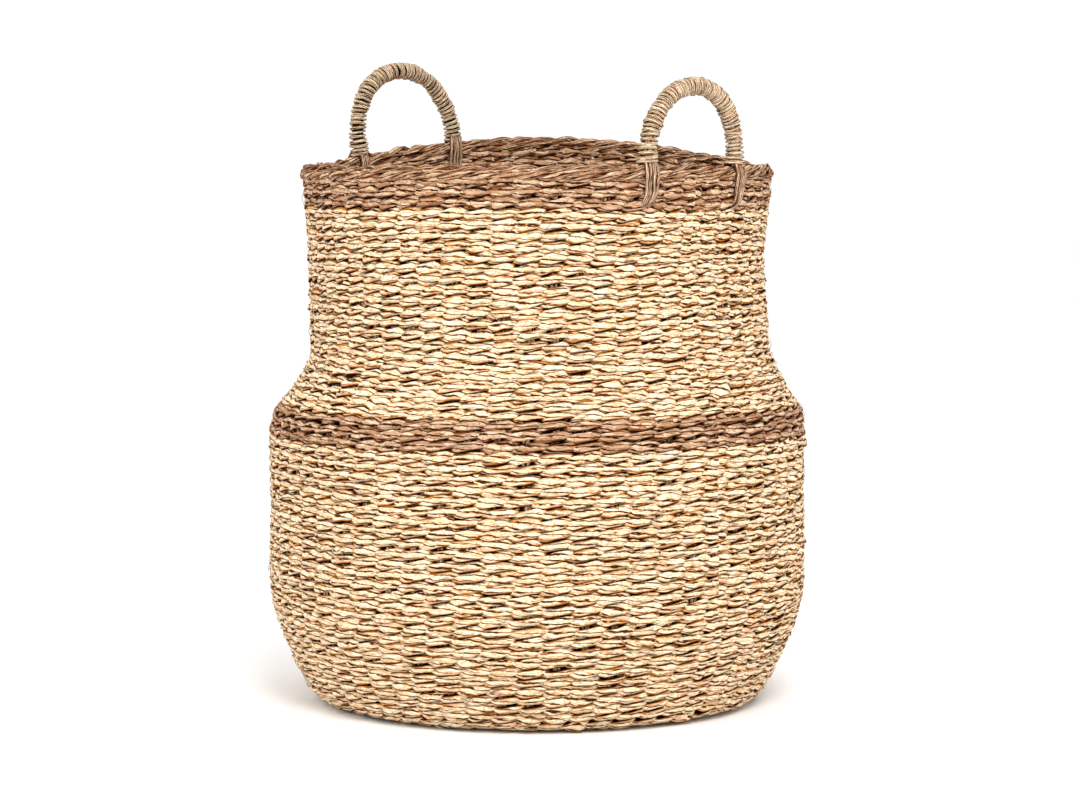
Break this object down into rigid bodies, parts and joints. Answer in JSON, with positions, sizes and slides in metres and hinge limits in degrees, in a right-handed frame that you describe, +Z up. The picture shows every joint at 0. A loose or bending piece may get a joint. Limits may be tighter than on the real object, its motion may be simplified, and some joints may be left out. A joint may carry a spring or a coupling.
{
  "type": "seagrass storage basket",
  "caption": "Round twined seagrass storage basket with a wide belly, a narrower neck, dark woven bands and wrapped rope loop handles on the rim.",
  "frame": {"origin": "middle of the underside, on the floor", "axes": "+Z up; the handles stand on +X and -X; +X is the right handle's side"},
  "size_m": [0.4244, 0.4244, 0.5028],
  "materials": {
    "straw_strands": "matt twisted seagrass, straw with orange-brown streaks",
    "dark_strands": "matt twisted seagrass, brown-grey",
    "spoke_grass": "matt bundled seagrass stakes",
    "cord_wrap": "matt fine twisted seagrass cord",
    "handle_core": "matt rattan core"
  },
  "bodies": {
    "root": {"base_underside_weave": "straw_strands", "base_floor_weave": "straw_strands", "corner_outer_strands": "straw_strands", "corner_inner_strands": "straw_strands", "lower_wall_outer_strands": "straw_strands", "lower_wall_inner_strands": "straw_strands", "belly_wall_outer_strands": "straw_strands", "belly_wall_inner_strands": "straw_strands", "belly_band_outer_strands": "dark_strands", "belly_band_inner_strands": "dark_strands", "shoulder_outer_strands": "straw_strands", "shoulder_inner_strands": "straw_strands", "neck_wall_outer_strands": "straw_strands", "neck_wall_inner_strands": "straw_strands", "rim_band_outer_strands": "dark_strands", "rim_band_inner_strands": "dark_strands", "spoke_01": "spoke_grass", "spoke_02": "spoke_grass", "spoke_03": "spoke_grass", "spoke_04": "spoke_grass", "spoke_05": "spoke_grass", "spoke_06": "spoke_grass", "spoke_07": "spoke_grass", "spoke_08": "spoke_grass", "spoke_09": "spoke_grass", "spoke_10": "spoke_grass", "spoke_11": "spoke_grass", "spoke_12": "spoke_grass", "spoke_13": "spoke_grass", "spoke_14": "spoke_grass", "spoke_15": "spoke_grass", "spoke_16": "spoke_grass", "spoke_17": "spoke_grass", "spoke_18": "spoke_grass", "spoke_19": "spoke_grass", "spoke_20": "spoke_grass", "spoke_21": "spoke_grass", "spoke_22": "spoke_grass", "spoke_23": "spoke_grass", "spoke_24": "spoke_grass", "spoke_25": "spoke_grass", "spoke_26": "spoke_grass", "spoke_27": "spoke_grass", "spoke_28": "spoke_grass", "spoke_29": "spoke_grass", "spoke_30": "spoke_grass", "rim_border": "dark_strands", "right_handle_lashing_1": "cord_wrap", "right_handle_lashing_2": "cord_wrap", "left_handle_lashing_1": "cord_wrap", "left_handle_lashing_2": "cord_wrap"},
    "right_handle": {"right_handle_core": "handle_core", "right_handle_wrap": "cord_wrap"},
    "left_handle": {"left_handle_core": "handle_core", "left_handle_wrap": "cord_wrap"}
  },
  "joints": [
    {"name": "right_handle_tilt", "type": "hinge", "parent": "root", "child": "right_handle", "pos_m": [0.17483, 0, 0.4308], "axis": [0, 1, 0], "range_deg": [-35, 35]},
    {"name": "left_handle_tilt", "type": "hinge", "parent": "root", "child": "left_handle", "pos_m": [-0.17483, 0, 0.44459], "axis": [0, -0.9922, -0.1247], "range_deg": [-35, 35]}
  ]
}
